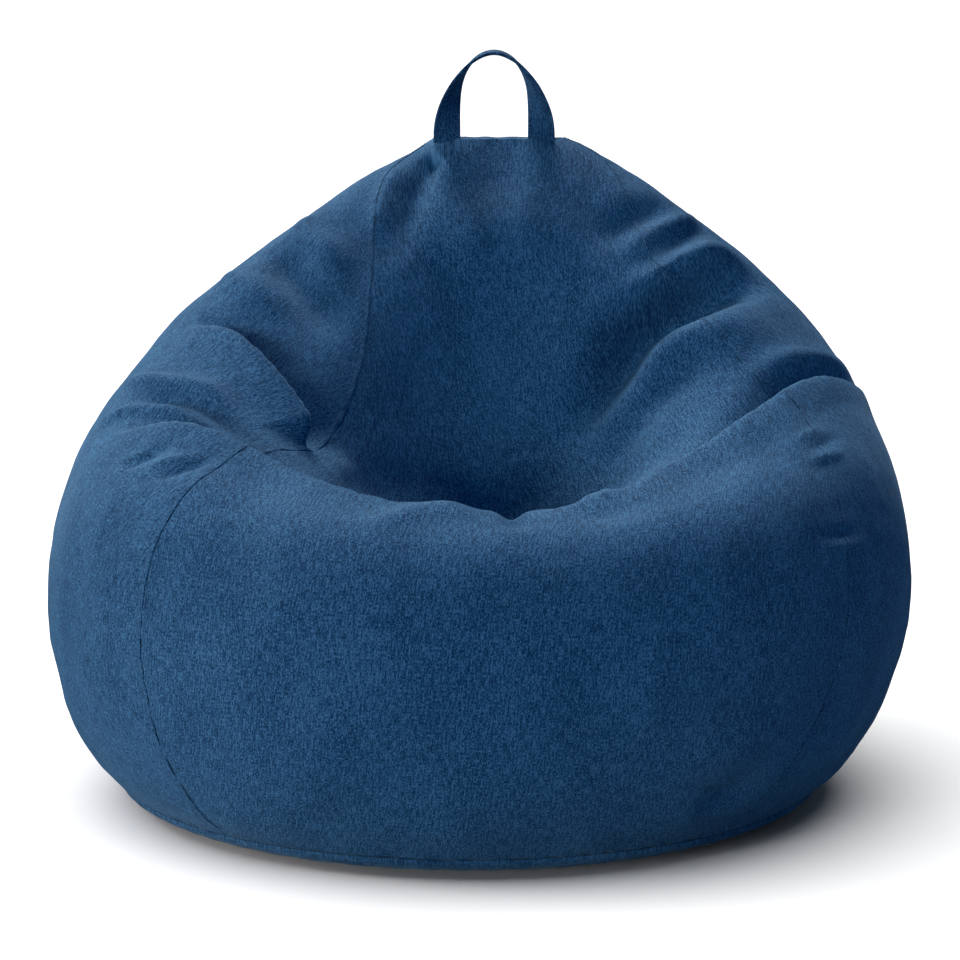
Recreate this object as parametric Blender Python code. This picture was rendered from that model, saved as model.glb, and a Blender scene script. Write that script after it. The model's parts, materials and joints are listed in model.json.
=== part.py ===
"""Bean bag chair: a sewn cover with a carry handle and a zip, round a zipped liner full of beads.

Metres, +Z up. The seat faces -Y, the bag stands on z = 0, and the origin is under its middle.
Azimuths are degrees round Z from the front (-Y) towards the right (+X).
Stations run up the cover, from 0 at the base seam to 12 at the top edge.
"""

import math

import bpy
import numpy as np

# Cover
TOP_HEIGHT = 0.756
BASE_SEAM_RADIUS = 0.415
BASE_SEAM_HEIGHT = 0.028
FLAT_RADIUS = 0.315
COVER_CLOTH = 0.0012
SEAM_GAP = 0.0005
TOP_STATION = 12

# Where the middle of the bag lies at each station: it leans back and a little to the right.
MIDDLE_X = (-0.010, -0.009, -0.006, 0, 0.003, 0.008, 0.014, 0.018, 0.023, 0.025, 0.027, 0.029, 0.026)
MIDDLE_Y = (0, 0, 0, 0, 0, 0.005, 0.030, 0.060, 0.095, 0.130, 0.170, 0.205, 0.225)

# Outlines at a few azimuths: (reach from the middle, height) at stations 1 to 12.
OUTLINES = {
    0: (
        (0.448, 0.068), (0.482, 0.135), (0.500, 0.225), (0.487, 0.310), (0.415, 0.378), (0.290, 0.352),
        (0.174, 0.322), (0.112, 0.392), (0.085, 0.525), (0.064, 0.636), (0.045, 0.715), (0.030, TOP_HEIGHT),
    ),
    30: (
        (0.450, 0.066), (0.488, 0.135), (0.506, 0.230), (0.493, 0.320), (0.432, 0.392), (0.322, 0.398),
        (0.214, 0.366), (0.147, 0.428), (0.103, 0.542), (0.075, 0.645), (0.052, 0.718), (0.036, TOP_HEIGHT),
    ),
    60: (
        (0.448, 0.062), (0.486, 0.132), (0.505, 0.235), (0.496, 0.335), (0.455, 0.420), (0.385, 0.464),
        (0.300, 0.490), (0.218, 0.540), (0.160, 0.605), (0.118, 0.672), (0.083, 0.727), (0.057, TOP_HEIGHT),
    ),
    90: (
        (0.446, 0.058), (0.482, 0.132), (0.500, 0.235), (0.490, 0.350), (0.460, 0.430), (0.421, 0.490),
        (0.366, 0.552), (0.298, 0.612), (0.236, 0.658), (0.176, 0.702), (0.116, 0.736), (0.080, TOP_HEIGHT),
    ),
    135: (
        (0.436, 0.085), (0.482, 0.155), (0.504, 0.250), (0.490, 0.350), (0.460, 0.435), (0.410, 0.510),
        (0.345, 0.572), (0.280, 0.625), (0.210, 0.670), (0.142, 0.710), (0.086, 0.742), (0.048, TOP_HEIGHT),
    ),
    180: (
        (0.436, 0.085), (0.482, 0.155), (0.504, 0.250), (0.489, 0.350), (0.446, 0.435), (0.392, 0.510),
        (0.332, 0.572), (0.268, 0.625), (0.202, 0.670), (0.134, 0.710), (0.072, 0.742), (0.030, TOP_HEIGHT),
    ),
}

# Azimuth of each upright seam at stations 0 to 12.
FRONT_LEFT_SEAM = (-39, -41, -43, -45, -45, -45, -45, -46, -52, -63, -75, -87, -90)
FRONT_RIGHT_SEAM = (41, 44, 47, 50, 52, 56, 62, 66, 68, 70, 76, 86, 90)
BACK_RIGHT_SEAM = (130, 130, 128, 126, 124, 122, 120, 118, 116, 114, 112, 112, 112)
BACK_LEFT_SEAM = tuple(360 - azimuth for azimuth in BACK_RIGHT_SEAM)

# Rows of each panel's net, closer together over the seat roll and the seat.
ROWS = (0, 0.5, 1, 1.5, 2, 3, 4, 4.5, 5, 5.5, 6, 6.5, 7, 7.5, 8, 9, 10, 11, 12)
ZIP_ROWS = ROWS[1:]
FRONT_COLUMNS, SIDE_COLUMNS, BACK_COLUMNS = 9, 7, 7

# Liner and beads: how far inside the cover they lie, at the base seam and above it.
LINER_CLOTH = 0.0008
LINER_INSET = (0.012, 0.004)
BEADS_INSET = (0.023, 0.008)
INSET_STATION = 2
LINER_TOP_STATION = 11.7
BEADS_TOP_STATION = 11.4
CAP_GAP = 0.002
FLOOR_COVER, FLOOR_LINER, FLOOR_BEADS = 0, 0.002, 0.0036

# Carry handle: a strap sewn into the top edge at both ends, twisted so that its crown lies flat.
STRAP_WIDTH = 0.033
STRAP_THICKNESS = 0.004
STRAP_SPAN = 0.115
STRAP_RISE = 0.100
STRAP_FOOT = (0.019, 0.199, TOP_HEIGHT + 0.0035)
STRAP_CUTS = 20
STRAP_TWIST = 1.35

# Zips: each runs round the rear of the bag just above the base seam.
ZIP_HEIGHT = 0.043
ZIP_HALF_ANGLE = 47.0
TAPE_OVERHANG = 1.0
STOP_ANGLE = 0.5
ZIP_STEP = 4.0
COVER_ZIP_RADIUS = 0.4191
LINER_ZIP_RADIUS = 0.4071
TEETH_GAP = 0.0009
TEETH_WIDTH = 0.0028
TEETH_DEPTH = 0.0026
TAPE_GAP = 0.0003
TAPE_THICKNESS = 0.0008
UPPER_TAPE_TOP = 0.0552
COVER_TAPE_FOOT = 0.0295
LINER_TAPE_FOOT = 0.0335
SLIDER_LENGTH = 0.009
SLIDER_HEIGHT = 0.010
SLIDER_PLATE = 0.0012
SLIDER_CLEARANCE = 0.0008
BLADE_THICKNESS = 0.0008
SLIDER_AZIMUTH = 180 - ZIP_HALF_ANGLE + 1.5
LUG_HEIGHT = 0.0018
BRIDGE_HALF_LENGTH = 0.0032
BRIDGE_LEG = 0.0010
BRIDGE_CLEAR = 0.0028
BRIDGE_BAR = 0.0010
BRIDGE_WIDTH = 0.0020
PULL_PIVOT = 0.0014
PULL_THICKNESS = 0.0012
PULL_ARMS = (0.0019, 0.0029)
PULL_NECK = 0.007
PULL_LENGTH = 0.030
PULL_HALF_WIDTH = 0.004

# Care label: a folded tape sewn into the left rear seam, lying flat on the side panel.
LABEL_AZIMUTH = -125
LABEL_STATION = 2.2
LABEL_SIZE = (0.045, 0.025, 0.0010)
LABEL_STANDOFF = 0.0006


def through(at, knots, values):
    """Values at the given places on a smooth curve through the knots."""
    at = np.asarray(at, float)
    knots = np.asarray(knots, float)
    values = np.asarray(values, float)
    tail = (1,) * (values.ndim - 1)
    slopes = np.gradient(values, axis=0)
    spacing = np.gradient(knots).reshape((-1,) + tail)
    slopes = slopes / spacing
    low = np.clip(np.searchsorted(knots, at, side="right") - 1, 0, len(knots) - 2)
    width = (knots[low + 1] - knots[low]).reshape(at.shape + tail)
    t = (at - knots[low]).reshape(at.shape + tail) / width
    return (
        (2 * t**3 - 3 * t**2 + 1) * values[low]
        + (t**3 - 2 * t**2 + t) * width * slopes[low]
        + (3 * t**2 - 2 * t**3) * values[low + 1]
        + (t**3 - t**2) * width * slopes[low + 1]
    )


def outline_table():
    """Every outline with its mirror image, by azimuth from -225 to 225 so that the ends overlap."""
    table = {}
    for azimuth, outline in OUTLINES.items():
        full = ((BASE_SEAM_RADIUS, BASE_SEAM_HEIGHT),) + outline
        for turned in {azimuth, -azimuth, 360 - azimuth, azimuth - 360}:
            if abs(turned) <= 225:
                table[turned] = full
    azimuths = sorted(table)
    return azimuths, np.array([table[azimuth] for azimuth in azimuths])


AZIMUTHS, OUTLINE_TABLE = outline_table()


def surface(azimuth, station):
    """The cover's outside at an azimuth and a station, given as arrays of one shape."""
    azimuth, station = np.broadcast_arrays(np.asarray(azimuth, float), np.asarray(station, float))
    turned = (azimuth + 180) % 360 - 180
    stations = np.arange(TOP_STATION + 1)
    outlines = through(turned.ravel(), AZIMUTHS, OUTLINE_TABLE)
    places = [through(s, stations, outline) for s, outline in zip(station.ravel(), outlines)]
    reach, height = np.array(places).T.reshape((2,) + station.shape)
    x = through(station, stations, MIDDLE_X) + reach * np.sin(np.radians(azimuth))
    y = through(station, stations, MIDDLE_Y) - reach * np.cos(np.radians(azimuth))
    return np.stack([x, y, height], axis=-1)


def normal(azimuth, station):
    """The outward direction of the cover at an azimuth and a station."""
    turn, rise = 0.5, 0.02
    lower = np.clip(np.asarray(station, float) - rise, 0, TOP_STATION)
    upper = np.clip(np.asarray(station, float) + rise, 0, TOP_STATION)
    along = surface(azimuth + turn, station) - surface(azimuth - turn, station)
    up = surface(azimuth, upper) - surface(azimuth, lower)
    out = np.cross(along, up)
    return out / np.linalg.norm(out, axis=-1, keepdims=True)


def inside(azimuth, station, insets):
    """The cover's surface moved inwards, by insets[0] at the base seam and insets[1] above it."""
    share = np.clip(station / INSET_STATION, 0, 1)
    inset = insets[0] + (insets[1] - insets[0]) * share
    return surface(azimuth, station) - normal(azimuth, station) * inset[..., None]


def seam(azimuths, rows):
    return through(np.asarray(rows, float), np.arange(TOP_STATION + 1), azimuths)


def panel_net(first, second, rows, columns, gap=SEAM_GAP):
    """Azimuths and stations of a panel between two seams, kept half a gap clear of each."""
    rows = np.asarray(rows, float)
    starts, ends = seam(first, rows), seam(second, rows)
    chord = surface(starts, rows) - surface(ends, rows)
    margin = gap / 2 * (ends - starts) / np.maximum(np.linalg.norm(chord, axis=-1), 0.02)
    share = np.linspace(0, 1, columns + 1)
    azimuth = (starts + margin)[:, None] + (ends - starts - 2 * margin)[:, None] * share
    return azimuth, np.broadcast_to(rows[:, None], azimuth.shape)


def material(name, colour, roughness, metallic=0.0):
    made = bpy.data.materials.get(name) or bpy.data.materials.new(name)
    made.use_nodes = True
    shader = made.node_tree.nodes["Principled BSDF"]
    shader.inputs["Base Color"].default_value = (*colour, 1)
    shader.inputs["Roughness"].default_value = roughness
    shader.inputs["Metallic"].default_value = metallic
    return made


def cover_cloth():
    return material("cover_cloth", (0.017, 0.052, 0.124), 0.9)


def strap_cloth():
    return material("strap_cloth", (0.012, 0.038, 0.095), 0.9)


def liner_cloth():
    return material("liner_cloth", (0.78, 0.78, 0.76), 0.8)


def zip_tape():
    return material("zip_tape", (0.010, 0.026, 0.062), 0.85)


def zip_teeth():
    return material("zip_teeth", (0.012, 0.028, 0.066), 0.45)


def zip_metal():
    return material("zip_metal", (0.55, 0.55, 0.56), 0.3, 1.0)


def bead_foam():
    return material("bead_foam", (0.90, 0.90, 0.88), 0.7)


def label_tape():
    return material("label_tape", (0.85, 0.85, 0.83), 0.6)


def add_object(name, points, faces, cloth, pivot=(0, 0, 0)):
    """An object whose origin is its pivot, from points in world coordinates."""
    mesh = bpy.data.meshes.new(name)
    mesh.from_pydata([tuple(np.subtract(point, pivot)) for point in points], [], faces)
    mesh.validate()
    mesh.materials.append(cloth)
    mesh.shade_smooth()
    mesh.set_sharp_from_angle(angle=math.radians(40))
    made = bpy.data.objects.new(name, mesh)
    made.location = pivot
    bpy.context.collection.objects.link(made)
    return made


def net_faces(rows, columns, start=0, wrapped=False, flipped=False):
    """Triangles over a net of points stored row by row; wrapped joins the last column to the first.

    Every square is cut along the same diagonal, so nets that lie one inside another never cross.
    """
    faces = []
    for i in range(rows - 1):
        for j in range(columns if wrapped else columns - 1):
            k = (j + 1) % columns
            low, high = start + i * columns, start + (i + 1) * columns
            for triangle in ([low + j, low + k, high + k], [low + j, high + k, high + j]):
                faces.append(triangle[::-1] if flipped else triangle)
    return faces


def sheet(name, outer, inner, cloth):
    """A cloth panel with real thickness: two nets and the rim between them."""
    rows, columns = outer.shape[:2]
    points = np.concatenate([outer.reshape(-1, 3), inner.reshape(-1, 3)])
    faces = net_faces(rows, columns) + net_faces(rows, columns, rows * columns, flipped=True)
    corner = [0, columns - 1, rows * columns - 1, (rows - 1) * columns]
    rim = list(range(corner[0], corner[1]))
    rim += list(range(corner[1], corner[2], columns))
    rim += list(range(corner[2], corner[3], -1))
    rim += list(range(corner[3], corner[0], -columns))
    for here, there in zip(rim, rim[1:] + rim[:1]):
        faces.append([there, here, here + rows * columns, there + rows * columns])
    return add_object(name, points, faces, cloth)


def panel(name, first, second, rows, columns, cloth, insets, thickness):
    azimuth, station = panel_net(first, second, rows, columns)
    outer = inside(azimuth, station, insets)
    inner = inside(azimuth, station, [inset + thickness for inset in insets])
    return sheet(name, outer, inner, cloth)


def four_panels(prefix, cloth, insets, thickness, top_station):
    rows = [min(row, top_station) for row in ROWS]
    zip_rows = [min(row, top_station) for row in ZIP_ROWS]
    left_end = [azimuth - 360 for azimuth in BACK_LEFT_SEAM]
    cut = (
        ("front_panel", FRONT_LEFT_SEAM, FRONT_RIGHT_SEAM, rows, FRONT_COLUMNS),
        ("right_side_panel", FRONT_RIGHT_SEAM, BACK_RIGHT_SEAM, rows, SIDE_COLUMNS),
        ("back_panel", BACK_RIGHT_SEAM, BACK_LEFT_SEAM, zip_rows, BACK_COLUMNS),
        ("left_side_panel", left_end, FRONT_LEFT_SEAM, rows, SIDE_COLUMNS),
    )
    for name, first, second, its_rows, columns in cut:
        panel(prefix + name, first, second, its_rows, columns, cloth, insets, thickness)


def ring_azimuths(row):
    """Azimuths round one row, at every column of the four panels."""
    left_end = [azimuth - 360 for azimuth in BACK_LEFT_SEAM]
    seams = (left_end, FRONT_LEFT_SEAM, FRONT_RIGHT_SEAM, BACK_RIGHT_SEAM, BACK_LEFT_SEAM)
    counts = (SIDE_COLUMNS, FRONT_COLUMNS, SIDE_COLUMNS, BACK_COLUMNS)
    around = []
    for first, second, columns in zip(seams, seams[1:], counts):
        ends = [float(seam(azimuths, [row])[0]) for azimuths in (first, second)]
        around += list(np.linspace(*ends, columns + 1)[:-1])
    return np.array(around)


def ring(row, insets):
    azimuth = ring_azimuths(row)
    return inside(azimuth, np.full(azimuth.shape, float(row)), insets)


def drawn_in(points, gap):
    """A ring moved towards its own middle."""
    middle = points.mean(axis=0)
    reach = np.linalg.norm(points - middle, axis=1, keepdims=True)
    return middle + (points - middle) * (1 - gap / reach)


def dish_rows(points, floor):
    """Rings from the edge of a base's flat underside out and up to the given ring."""
    middle = points.mean(axis=0) * (1, 1, 0) + (0, 0, floor)
    rows = []
    for t in (0, 0.35, 0.65, 1):
        turn = t * math.pi / 2
        spread = points - middle
        radius = np.hypot(spread[:, 0], spread[:, 1])[:, None]
        reach = FLAT_RADIUS + (radius - FLAT_RADIUS) * math.sin(turn)
        row = middle + spread * reach / radius
        row[:, 2] = floor + (points[:, 2] - floor) * (1 - math.cos(turn))
        rows.append(row)
    return rows


def fan(middle, first, count, flipped):
    """Triangles from a middle point to a ring of points."""
    faces = []
    for j in range(count):
        side = [first + j, first + (j + 1) % count]
        faces.append([middle] + (side if flipped else side[::-1]))
    return faces


def round_sheet(name, rows, thickness, cloth, hollow_up):
    """A closed round panel from rings, innermost first; its second skin lies above or below."""
    lift = np.array([0, 0, thickness if hollow_up else -thickness])
    count = len(rows[0])
    skins = [np.concatenate([[np.mean(rows[0], axis=0)]] + rows)]
    second = [row + lift for row in rows]
    if hollow_up:
        second[-1] = drawn_in(rows[-1], thickness)
    skins.append(np.concatenate([[np.mean(second[0], axis=0)]] + second))
    size = len(skins[0])
    points = np.concatenate(skins)
    faces = []
    for start, flipped in ((0, not hollow_up), (size, hollow_up)):
        faces += fan(start, start + 1, count, flipped)
        faces += net_faces(len(rows), count, start + 1, wrapped=True, flipped=flipped)
    edge = 1 + (len(rows) - 1) * count
    for j in range(count):
        here, there = edge + j, edge + (j + 1) % count
        rim = [there, here, here + size, there + size]
        faces.append(rim[::-1] if hollow_up else rim)
    return add_object(name, points, faces, cloth)


def base_panel(name, cloth, insets, floor, thickness):
    edge = drawn_in(ring(0, insets) - (0, 0, SEAM_GAP), SEAM_GAP)
    return round_sheet(name, dish_rows(edge, floor), thickness, cloth, hollow_up=True)


def top_panel(name, cloth, insets, station, thickness):
    edge = drawn_in(ring(station, insets), CAP_GAP)
    middle = edge.mean(axis=0)
    rows = [middle + (edge - middle) * share for share in (0.4, 0.7, 1)]
    return round_sheet(name, rows, thickness, cloth, hollow_up=False)


def cover():
    cloth = cover_cloth()
    four_panels("", cloth, (0, 0), COVER_CLOTH, TOP_STATION)
    base_panel("base_panel", cloth, (0, 0), FLOOR_COVER, COVER_CLOTH)
    top_panel("top_panel", cloth, (0, 0), TOP_STATION, COVER_CLOTH)


def liner():
    cloth = liner_cloth()
    four_panels("liner_", cloth, LINER_INSET, LINER_CLOTH, LINER_TOP_STATION)
    base_panel("liner_base_panel", cloth, LINER_INSET, FLOOR_LINER, LINER_CLOTH)
    top_panel("liner_top_panel", cloth, LINER_INSET, LINER_TOP_STATION, LINER_CLOTH)


def bead_filling():
    """The beads as one closed body: base rings, then a ring for each row, then the top."""
    rows = dish_rows(ring(0, BEADS_INSET), FLOOR_BEADS)[:-1]
    rows += [ring(min(row, BEADS_TOP_STATION), BEADS_INSET) for row in ROWS]
    count = len(rows[0])
    points = np.concatenate(rows + [[rows[0].mean(axis=0)], [rows[-1].mean(axis=0)]])
    faces = net_faces(len(rows), count, wrapped=True)
    faces += fan(len(points) - 2, 0, count, flipped=False)
    faces += fan(len(points) - 1, (len(rows) - 1) * count, count, flipped=True)
    return add_object("bead_filling", points, faces, bead_foam())


def strap_frame(share):
    """Centre and width direction of the handle strap, at a share of its way from left to right."""
    turn = math.pi * share
    rise = math.sin(turn)
    centre = np.add(STRAP_FOOT, (-STRAP_SPAN / 2 * math.cos(turn), 0, STRAP_RISE * rise))
    twist = math.pi / 2 * (1 - (1 - rise) ** STRAP_TWIST)
    if share > 0.5:
        twist = math.pi - twist
    return centre, np.array([math.cos(twist), math.sin(twist), 0])


def carry_handle():
    """A flat strap swept along its arch, with its origin on the line that it folds about."""
    shares = np.linspace(0, 1, STRAP_CUTS + 1)
    frames = [strap_frame(share) for share in shares]
    centres = np.array([centre for centre, _ in frames])
    along = np.gradient(centres, axis=0)
    along /= np.linalg.norm(along, axis=1, keepdims=True)
    rows = []
    for (centre, across), forward in zip(frames, along):
        across = across - forward * across.dot(forward)
        across /= np.linalg.norm(across)
        face = np.cross(forward, across)
        wide, thick = across * STRAP_WIDTH / 2, face * STRAP_THICKNESS / 2
        rows.append([centre - wide - thick, centre + wide - thick, centre + wide + thick, centre - wide + thick])
    points = np.array(rows).reshape(-1, 3)
    faces = net_faces(len(rows), 4, wrapped=True)
    faces += [[3, 2, 1, 0], [len(points) - 4 + corner for corner in range(4)]]
    return add_object("carry_handle", points, faces, strap_cloth(), STRAP_FOOT)


def zip_middle():
    return np.array([MIDDLE_X[0], MIDDLE_Y[0], 0])


def around(azimuth, radius, height):
    """A point at an azimuth and a radius from the zips' common axis."""
    turn = math.radians(azimuth)
    return zip_middle() + (radius * math.sin(turn), -radius * math.cos(turn), height)


def arc_strip(name, start, end, radii, heights, cloth):
    """A strip of rectangular section that runs round the zip axis."""
    cuts = max(1, round((end - start) / ZIP_STEP))
    points = []
    for azimuth in np.linspace(start, end, cuts + 1):
        corners = ((radii[1], heights[0]), (radii[1], heights[1]), (radii[0], heights[1]), (radii[0], heights[0]))
        points += [around(azimuth, radius, height) for radius, height in corners]
    faces = net_faces(cuts + 1, 4, wrapped=True, flipped=True)
    faces += [[0, 1, 2, 3], [len(points) - corner for corner in (1, 2, 3, 4)]]
    return add_object(name, points, faces, cloth)


def zip_fastener(prefix, radius, tape_foot):
    """Two tapes, two rows of teeth and the stops at their ends."""
    start, end = 180 - ZIP_HALF_ANGLE, 180 + ZIP_HALF_ANGLE
    near, far = TEETH_GAP, TEETH_GAP + TEETH_WIDTH
    teeth_radii = (radius - TEETH_DEPTH / 2, radius + TEETH_DEPTH / 2)
    tape_radii = (radius - TAPE_THICKNESS / 2, radius + TAPE_THICKNESS / 2)
    edge = far + TAPE_GAP
    upper_teeth = (ZIP_HEIGHT + near, ZIP_HEIGHT + far)
    lower_teeth = (ZIP_HEIGHT - far, ZIP_HEIGHT - near)
    upper_tape = (ZIP_HEIGHT + edge, UPPER_TAPE_TOP)
    lower_tape = (tape_foot, ZIP_HEIGHT - edge)
    arc_strip(prefix + "_upper_teeth", start, end, teeth_radii, upper_teeth, zip_teeth())
    arc_strip(prefix + "_lower_teeth", start, end, teeth_radii, lower_teeth, zip_teeth())
    ends = (start - TAPE_OVERHANG, end + TAPE_OVERHANG)
    arc_strip(prefix + "_upper_tape", *ends, tape_radii, upper_tape, zip_tape())
    arc_strip(prefix + "_lower_tape", *ends, tape_radii, lower_tape, zip_tape())
    stop = (lower_teeth[0], upper_teeth[1])
    gap = 0.05
    arc_strip(prefix + "_closed_stop", start - gap - STOP_ANGLE, start - gap, teeth_radii, stop, zip_metal())
    arc_strip(prefix + "_open_stop", end + gap, end + gap + STOP_ANGLE, teeth_radii, stop, zip_metal())


def slider_axes():
    """Unit vectors outwards, along the zip and up, where the sliders stand when closed."""
    turn = math.radians(SLIDER_AZIMUTH)
    outward = np.array([math.sin(turn), -math.cos(turn), 0])
    along = np.array([math.cos(turn), math.sin(turn), 0])
    return outward, along, np.array([0, 0, 1])


def block(name, origin, axes, low, high, made_of, pivot=(0, 0, 0)):
    """A box between two corners given along its own axes, which are a right-handed set."""
    corners = [(x, y, z) for x in (low[0], high[0]) for y in (low[1], high[1]) for z in (low[2], high[2])]
    points = [origin + sum(axis * value for axis, value in zip(axes, corner)) for corner in corners]
    faces = [[0, 1, 3, 2], [4, 6, 7, 5], [0, 4, 5, 1], [2, 3, 7, 6], [0, 2, 6, 4], [1, 5, 7, 3]]
    return add_object(name, points, faces, made_of, pivot)


def unite(first, others):
    """Joins blocks into the first one; the others are kept as hidden cutters."""
    for other in others:
        other.hide_render = True
        other.display_type = "WIRE"
        joint = first.modifiers.new("Join", "BOOLEAN")
        joint.operation = "UNION"
        joint.object = other
    return first


def slider(name, radius, loop):
    """Two plates, the blade between the rows of teeth, and a loop or a plain lug outside."""
    origin = around(SLIDER_AZIMUTH, radius, ZIP_HEIGHT)
    pivot = tuple(zip_middle() + (0, 0, ZIP_HEIGHT))
    half, tall = SLIDER_LENGTH / 2, SLIDER_HEIGHT / 2
    near = TEETH_DEPTH / 2 + SLIDER_CLEARANCE
    far = near + SLIDER_PLATE
    sunk = far - SLIDER_PLATE / 2
    blade, wide = BLADE_THICKNESS / 2, BRIDGE_WIDTH / 2
    clear = far + BRIDGE_CLEAR
    top = clear + BRIDGE_BAR
    foot, heel = BRIDGE_HALF_LENGTH - BRIDGE_LEG, BRIDGE_HALF_LENGTH
    boxes = {
        "": ((near, -half, -tall), (far, half, tall)),
        "_inner_plate": ((-far, -half, -tall), (-near, half, tall)),
        "_blade": ((-sunk, -half / 2, -blade), (sunk, half / 2, blade)),
    }
    if loop:
        boxes["_first_leg"] = ((sunk, -heel, -wide), (top, -foot, wide))
        boxes["_second_leg"] = ((sunk, foot, -wide), (top, heel, wide))
        boxes["_bar"] = ((clear, -(foot + heel) / 2, -wide), (top, (foot + heel) / 2, wide))
    else:
        boxes["_lug"] = ((sunk, -wide, -wide), (far + LUG_HEIGHT, wide, wide))
    made = [
        block(name + ending, origin, slider_axes(), low, high, zip_metal(), pivot)
        for ending, (low, high) in boxes.items()
    ]
    return unite(made[0], made[1:])


def pull_pivot():
    """The middle of the pull's own bar, under the loop of the cover's slider."""
    reach = COVER_ZIP_RADIUS + TEETH_DEPTH / 2 + SLIDER_CLEARANCE + SLIDER_PLATE + PULL_PIVOT
    return around(SLIDER_AZIMUTH, reach, ZIP_HEIGHT)


def zip_pull():
    """A flat tab with a window round the slider's loop; it turns about its own short bar."""
    outward, along, up = slider_axes()
    half = PULL_THICKNESS / 2
    inner, outer = PULL_ARMS
    outline = (
        (-half, -outer), (PULL_NECK, -outer), (PULL_NECK + 0.002, -PULL_HALF_WIDTH),
        (PULL_LENGTH - 0.002, -PULL_HALF_WIDTH), (PULL_LENGTH, -PULL_HALF_WIDTH + 0.002),
        (PULL_LENGTH, PULL_HALF_WIDTH - 0.002), (PULL_LENGTH - 0.002, PULL_HALF_WIDTH),
        (PULL_NECK + 0.002, PULL_HALF_WIDTH), (PULL_NECK, outer), (-half, outer),
    )
    window = ((half, -inner), (PULL_NECK, -inner), (PULL_NECK, inner), (half, inner))
    strips = ((0, 1, 1, 0), (1, 8, 2, 1), (8, 9, 3, 2), (9, 0, 0, 3))
    count = len(outline) + len(window)
    points = []
    for level in (half, -half):
        for forward, across in outline + window:
            points.append(pull_pivot() + along * forward + outward * level + up * across)
    faces = []
    for start, end, window_end, window_start in strips:
        quad = [start, end, len(outline) + window_end, len(outline) + window_start]
        faces += [quad, [count + corner for corner in quad[::-1]]]
    plate = list(range(1, 9))
    faces += [plate, [count + corner for corner in plate[::-1]]]
    for loop, flipped in ((range(len(outline)), False), (range(len(outline), count), True)):
        loop = list(loop)
        for here, there in zip(loop, loop[1:] + loop[:1]):
            side = [there, here, here + count, there + count]
            faces.append(side[::-1] if flipped else side)
    return faces, points


def cover_zip_pull():
    faces, points = zip_pull()
    made = add_object("cover_zip_pull", points, faces, zip_metal(), tuple(pull_pivot()))
    return made


def care_label():
    """A blank tape against the side panel, a hair clear of the cloth."""
    azimuth, station = np.array([float(LABEL_AZIMUTH)]), np.array([LABEL_STATION])
    out = normal(azimuth, station)[0]
    turn = math.radians(LABEL_AZIMUTH)
    along = np.array([math.cos(turn), math.sin(turn), 0])
    along -= out * along.dot(out)
    along /= np.linalg.norm(along)
    length, width, thickness = LABEL_SIZE
    axes = (along, out, np.cross(along, out))
    low = (-length / 2, LABEL_STANDOFF, -width / 2)
    high = (length / 2, LABEL_STANDOFF + thickness, width / 2)
    return block("care_label", surface(azimuth, station)[0], axes, low, high, label_tape())


def main():
    for old in list(bpy.data.objects):
        bpy.data.objects.remove(old, do_unlink=True)
    cover()
    carry_handle()
    zip_fastener("cover_zip", COVER_ZIP_RADIUS, COVER_TAPE_FOOT)
    slider("cover_zip_slider", COVER_ZIP_RADIUS, loop=True)
    cover_zip_pull()
    liner()
    zip_fastener("liner_zip", LINER_ZIP_RADIUS, LINER_TAPE_FOOT)
    slider("liner_zip_slider", LINER_ZIP_RADIUS, loop=False)
    bead_filling()
    care_label()


main()
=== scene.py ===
"""Looks of the bean bag chair: sewn cover panels with their folds, seams and stitches, strap and zips.

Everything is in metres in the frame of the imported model: +Z up, the seat faces -Y.
Azimuths are degrees round Z from the front (-Y) towards the right (+X).
Stations run up the cover, from 0 at the base seam to 12 at the top edge.
"""

import json
import math
from functools import cache

import bpy
import numpy as np
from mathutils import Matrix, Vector

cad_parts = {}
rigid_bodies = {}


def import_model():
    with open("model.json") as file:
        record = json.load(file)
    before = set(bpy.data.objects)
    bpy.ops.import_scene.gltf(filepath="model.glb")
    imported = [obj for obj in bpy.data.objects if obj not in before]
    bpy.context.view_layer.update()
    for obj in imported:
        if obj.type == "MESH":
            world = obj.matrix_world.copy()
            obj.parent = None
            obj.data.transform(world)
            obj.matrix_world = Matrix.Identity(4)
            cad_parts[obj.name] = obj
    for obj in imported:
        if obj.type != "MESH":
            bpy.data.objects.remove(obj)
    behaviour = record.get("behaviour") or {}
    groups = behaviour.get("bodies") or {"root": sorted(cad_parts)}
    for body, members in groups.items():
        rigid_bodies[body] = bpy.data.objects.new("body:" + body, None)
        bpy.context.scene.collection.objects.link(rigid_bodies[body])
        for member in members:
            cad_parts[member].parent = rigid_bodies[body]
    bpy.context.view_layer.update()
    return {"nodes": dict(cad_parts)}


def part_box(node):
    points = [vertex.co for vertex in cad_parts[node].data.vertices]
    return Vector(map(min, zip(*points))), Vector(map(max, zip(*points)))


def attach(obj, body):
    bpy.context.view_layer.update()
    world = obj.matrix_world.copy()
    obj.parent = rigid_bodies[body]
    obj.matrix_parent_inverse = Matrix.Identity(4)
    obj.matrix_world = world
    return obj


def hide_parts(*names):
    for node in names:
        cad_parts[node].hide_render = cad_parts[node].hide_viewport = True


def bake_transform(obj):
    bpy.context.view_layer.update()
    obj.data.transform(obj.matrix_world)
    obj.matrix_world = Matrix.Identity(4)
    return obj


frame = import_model()

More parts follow.
